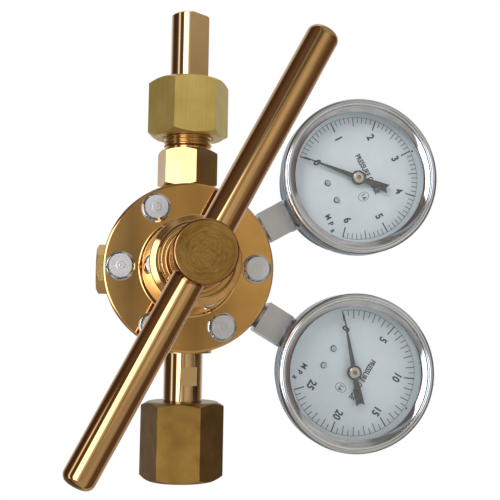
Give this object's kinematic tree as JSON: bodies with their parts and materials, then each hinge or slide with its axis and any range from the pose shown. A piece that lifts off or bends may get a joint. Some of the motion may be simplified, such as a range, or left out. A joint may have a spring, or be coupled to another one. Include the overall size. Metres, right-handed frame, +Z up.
{
  "type": "gas pressure regulator",
  "caption": "In-line brass gas regulator: flanged bonnet, T-bar adjusting screw, two dial gauges on the right, union nut inlet below, stub outlet above.",
  "frame": {"origin": "on the pipe's axis, where the inlet union nut's thread starts", "axes": "+Z up the pipe from inlet to outlet, -Y towards the front, where the T-bar and dials face"},
  "size_m": [0.1528, 0.1414, 0.2094],
  "materials": {
    "forged_brass": "polished, golden",
    "satin_brass": "fine turned and milled",
    "polished_bar": "polished, copper toned",
    "machined_brass": "machined",
    "bolt_steel": "stainless, satin",
    "spring_steel": "drawn wire",
    "seal_rubber": "matt",
    "gasket_metal": "soft copper",
    "filter_bronze": "sintered",
    "chrome_bezel": "polished",
    "case_steel": "satin",
    "nickel_plate": "nickel plated, brushed",
    "gauge_glass": "clear, flat",
    "dial_enamel": "pale, satin",
    "spacer_plastic": "pale",
    "pointer_black": "matt",
    "pale_metal": "turned"
  },
  "bodies": {
    "housing": {"bolt_washers": "bolt_steel", "bonnet": "forged_brass", "bonnet_bolts": "bolt_steel", "diaphragm": "seal_rubber", "inlet_filter": "filter_bronze", "inlet_stem": "satin_brass", "lower_gauge_bezel": "chrome_bezel", "lower_gauge_bourdon_tube": "machined_brass", "lower_gauge_case": "case_steel", "lower_gauge_dial": "dial_enamel", "lower_gauge_dial_screws": "pale_metal", "lower_gauge_movement": "machined_brass", "lower_gauge_socket": "nickel_plate", "lower_gauge_spacer": "spacer_plastic", "lower_gauge_window": "gauge_glass", "outlet_adapter": "satin_brass", "outlet_gasket": "gasket_metal", "outlet_stub": "satin_brass", "poppet_spring": "spring_steel", "range_spring": "spring_steel", "rear_plug": "satin_brass", "rear_plug_gasket": "gasket_metal", "side_plug": "satin_brass", "side_plug_gasket": "gasket_metal", "stub_seal": "seal_rubber", "upper_gauge_bezel": "chrome_bezel", "upper_gauge_bourdon_tube": "machined_brass", "upper_gauge_case": "case_steel", "upper_gauge_dial": "dial_enamel", "upper_gauge_dial_screws": "pale_metal", "upper_gauge_movement": "machined_brass", "upper_gauge_socket": "nickel_plate", "upper_gauge_spacer": "spacer_plastic", "upper_gauge_window": "gauge_glass", "valve_body": "forged_brass", "valve_seat": "machined_brass"},
    "spring_carriage": {"spring_button": "machined_brass", "thrust_ball": "bolt_steel"},
    "handle": {"adjusting_screw": "satin_brass", "screw_stop_ring": "bolt_steel", "handle_bar": "polished_bar"},
    "valve_train": {"diaphragm_plate": "machined_brass", "diaphragm_stud": "machined_brass", "diaphragm_nut": "bolt_steel", "push_pin": "machined_brass", "poppet": "machined_brass"},
    "inlet_swivel": {"inlet_nut": "satin_brass"},
    "outlet_swivel": {"outlet_nut": "satin_brass"},
    "upper_pointer": {"upper_gauge_arbor": "machined_brass", "upper_gauge_pointer": "pointer_black", "upper_gauge_pointer_boss": "pale_metal"},
    "lower_pointer": {"lower_gauge_arbor": "machined_brass", "lower_gauge_pointer": "pointer_black", "lower_gauge_pointer_boss": "pale_metal"}
  },
  "joints": [
    {"name": "screw_feed", "type": "slide", "parent": "housing", "child": "spring_carriage", "axis": [0, 1, 0], "range_m": [0, 0.0081], "deforming": ["range_spring"]},
    {"name": "handle_turn", "type": "hinge", "parent": "spring_carriage", "child": "handle", "pos_m": [0, 0, 0.091], "axis": [0, 1, 0], "range_deg": [0, 1440]},
    {"name": "valve_lift", "type": "slide", "parent": "housing", "child": "valve_train", "axis": [0, 1, 0], "range_m": [0, 0.001], "stiffness_N_per_m": 400, "deforming": ["diaphragm", "poppet_spring"]},
    {"name": "inlet_nut_turn", "type": "hinge", "parent": "housing", "child": "inlet_swivel", "pos_m": [0, 0, 0], "axis": [0, 0, 1], "continuous": true},
    {"name": "outlet_nut_turn", "type": "hinge", "parent": "housing", "child": "outlet_swivel", "pos_m": [0, 0, 0], "axis": [0, 0, 1], "continuous": true},
    {"name": "upper_pointer_turn", "type": "hinge", "parent": "housing", "child": "upper_pointer", "pos_m": [0.07362, 0, 0.13248], "axis": [0, 1, 0], "range_deg": [0, 265]},
    {"name": "lower_pointer_turn", "type": "hinge", "parent": "housing", "child": "lower_pointer", "pos_m": [0.07243, 0, 0.04748], "axis": [0, 1, 0], "range_deg": [0, 265]}
  ],
  "couplings": [
    {"joint": "screw_feed", "follows": "handle_turn", "m_per_rad": 0.00031831}
  ]
}
